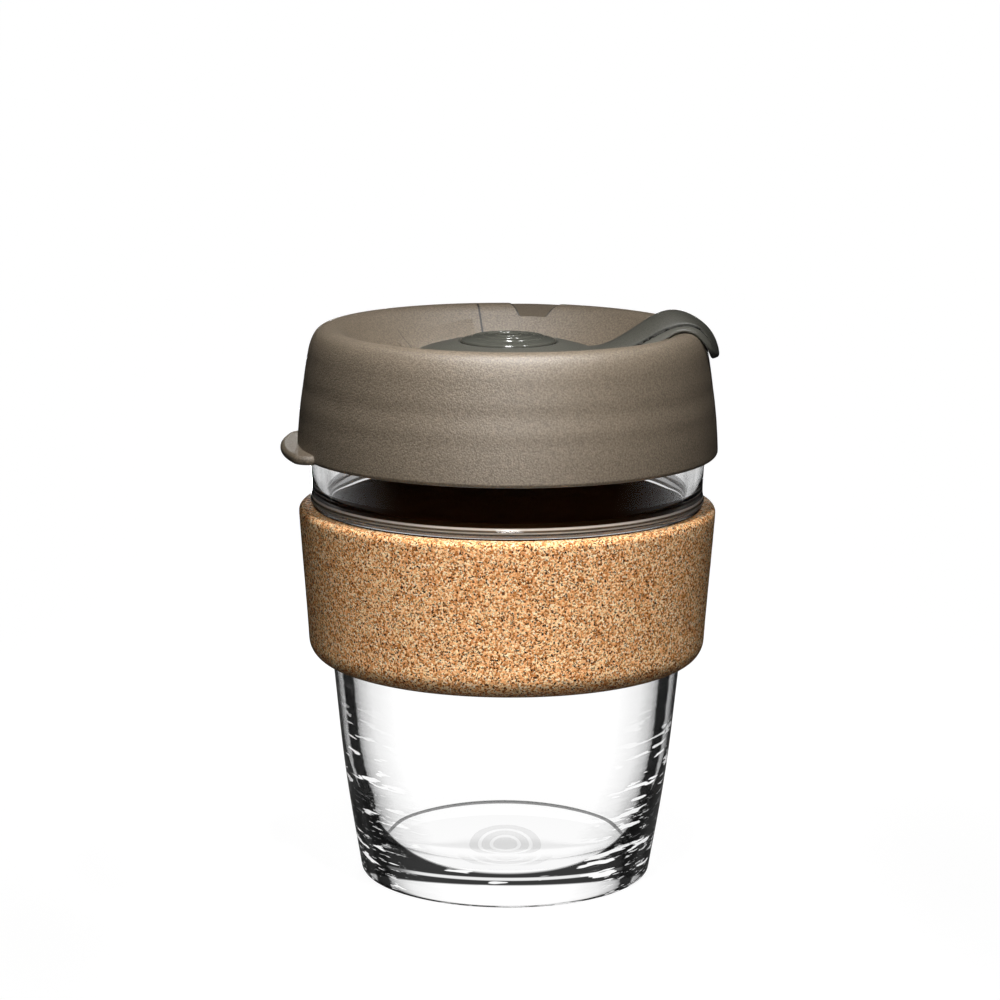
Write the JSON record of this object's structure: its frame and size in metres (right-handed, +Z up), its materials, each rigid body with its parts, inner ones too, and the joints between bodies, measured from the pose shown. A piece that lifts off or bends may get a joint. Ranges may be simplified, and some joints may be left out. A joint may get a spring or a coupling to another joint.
{
  "type": "reusable cup",
  "caption": "Clear glass tumbler with a cork grip band, a press-on lid with a rolled rim and pry tab, and a soft swivelling plug that hooks over the rim.",
  "frame": {"origin": "centre of the glass foot, on the surface the cup stands on", "axes": "+Z up along the cup's axis, +X along the closed plug arm, +Y completes the frame"},
  "size_m": [0.0917, 0.088, 0.1205],
  "materials": {
    "cup_glass": "clear polished tempered glass",
    "band_cork": "granulated pressed cork, sanded",
    "lid_plastic": "soft matte moulded, fine spark-eroded grain",
    "plug_rubber": "satin moulded elastomer",
    "button_plastic": "gloss moulded"
  },
  "bodies": {
    "cup": {"glass_cup": "cup_glass", "cork_band": "band_cork"},
    "lid": {"lid": "lid_plastic"},
    "plug": {"plug_hub": "plug_rubber", "plug_button": "button_plastic"},
    "arm": {"plug_arm": "plug_rubber", "plug_stopper": "plug_rubber"}
  },
  "joints": [
    {"name": "lid_lift", "type": "slide", "parent": "cup", "child": "lid", "axis": [0, 0, 1], "range_m": [0, 0.09]},
    {"name": "plug_turn", "type": "hinge", "parent": "lid", "child": "plug", "pos_m": [0, 0, 0.1135], "axis": [0, 0, 1], "range_deg": [0, 80.7], "deforming": ["plug_stopper"]},
    {"name": "arm_lift", "type": "hinge", "parent": "plug", "child": "arm", "pos_m": [0.01745, 0, 0.112], "axis": [0, -1, 0], "range_deg": [0, 25]}
  ]
}
